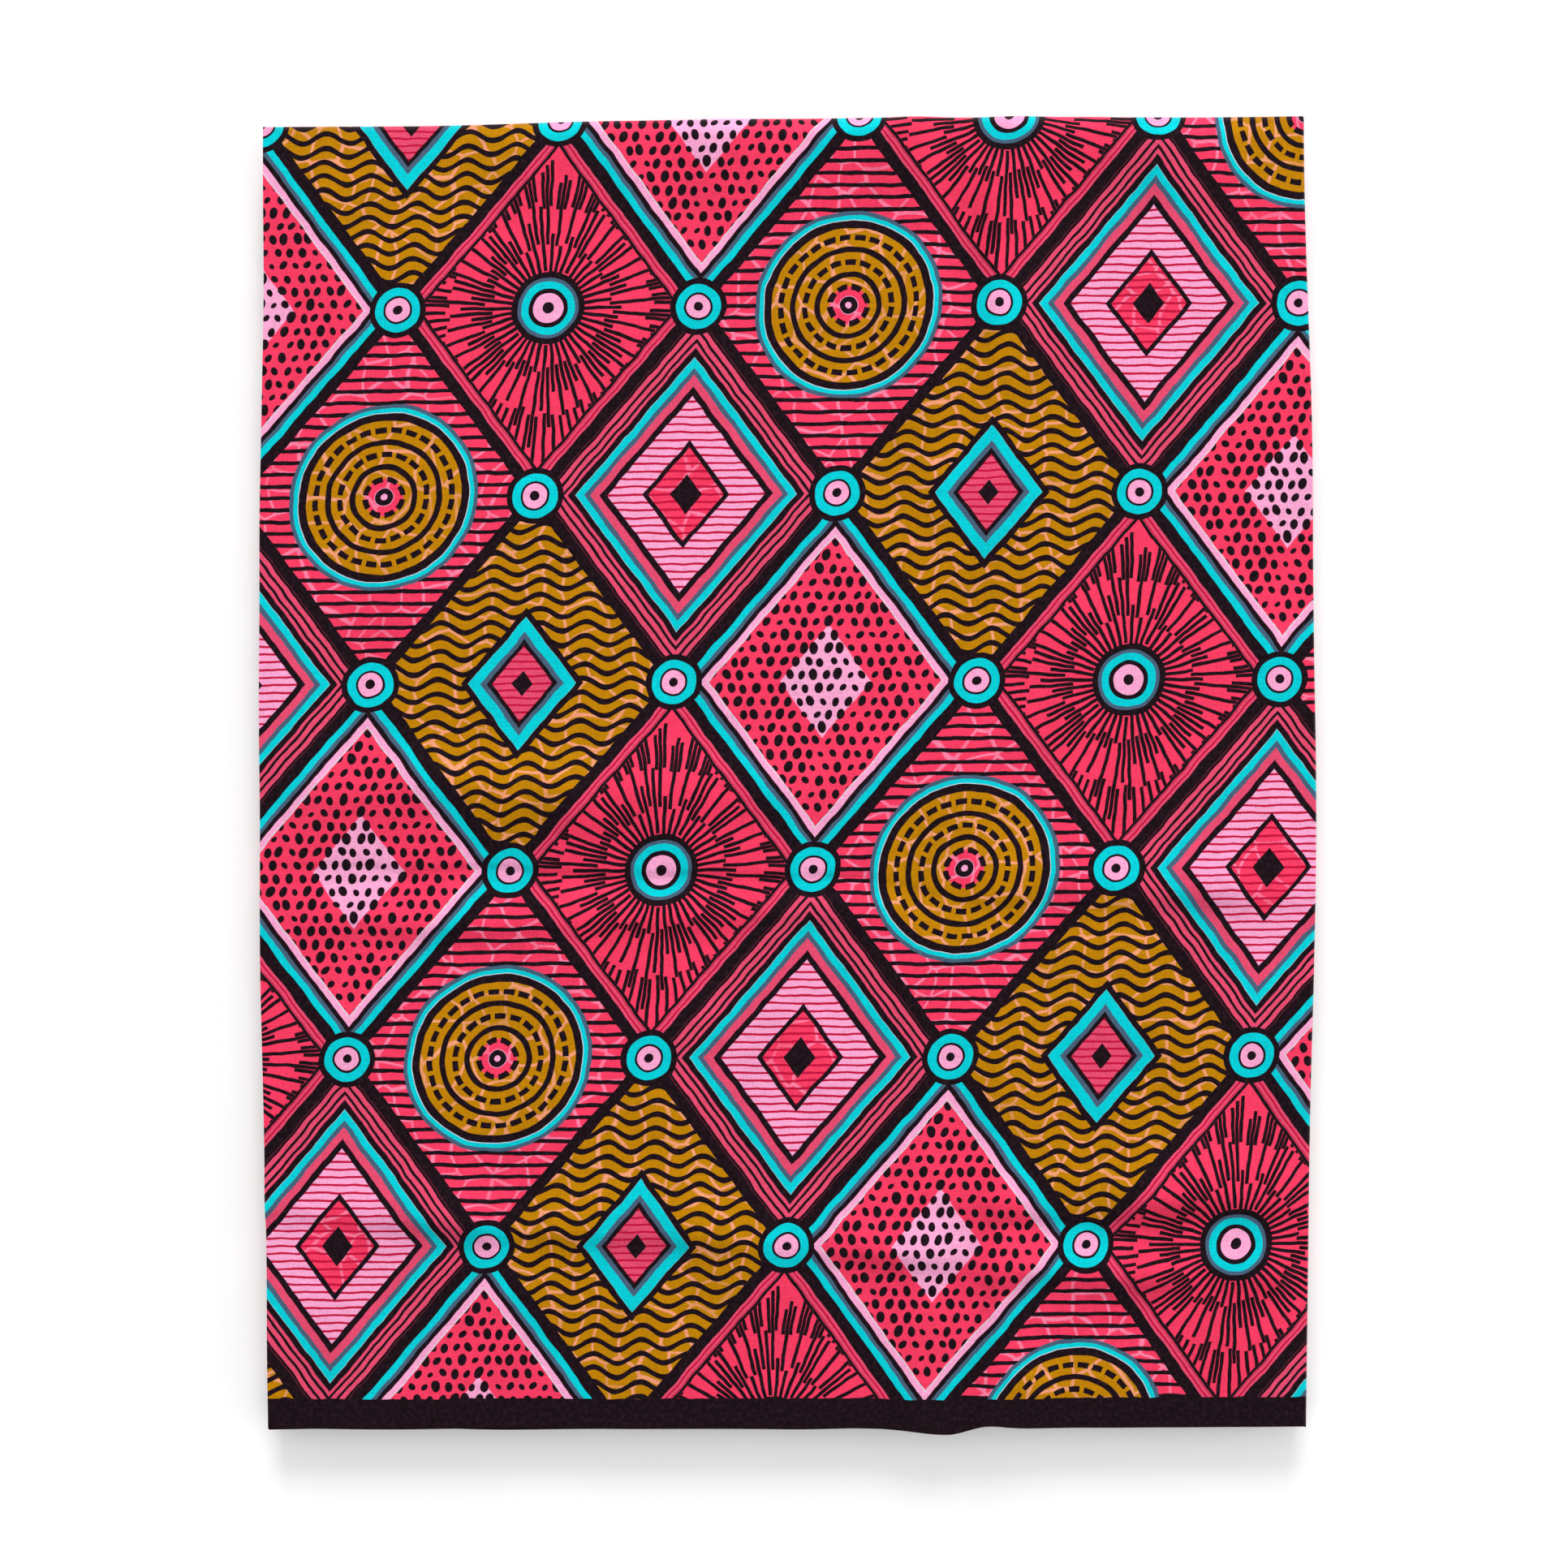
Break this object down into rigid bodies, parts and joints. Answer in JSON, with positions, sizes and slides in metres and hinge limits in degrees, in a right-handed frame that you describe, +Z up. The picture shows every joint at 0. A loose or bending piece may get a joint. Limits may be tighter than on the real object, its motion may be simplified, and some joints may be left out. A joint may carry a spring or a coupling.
{
  "type": "folded wax print cotton fabric",
  "caption": "Length of wax print cotton cloth, doubled selvedge to selvedge and plaited flat into a low rectangular stack, with soft creases across its top panel.",
  "frame": {"origin": "under the middle of the folded stack, on the surface that it lies on", "axes": "+Z up; +Y towards the fold along the middle of the cloth, away from the selvedges; +X towards the turn that joins the top panel to the next"},
  "size_m": [0.4644, 0.5794, 0.0232],
  "materials": {
    "wax_print_cotton": "plain-woven cotton, wax printed on both faces in crimson, ochre, turquoise, pale pink and black-brown, with fine crackle lines, nearly matte with a faint starch sheen"
  },
  "bodies": {
    "root": {"top_panel": "wax_print_cotton", "folded_layers": "wax_print_cotton", "bottom_panel": "wax_print_cotton"}
  },
  "joints": []
}
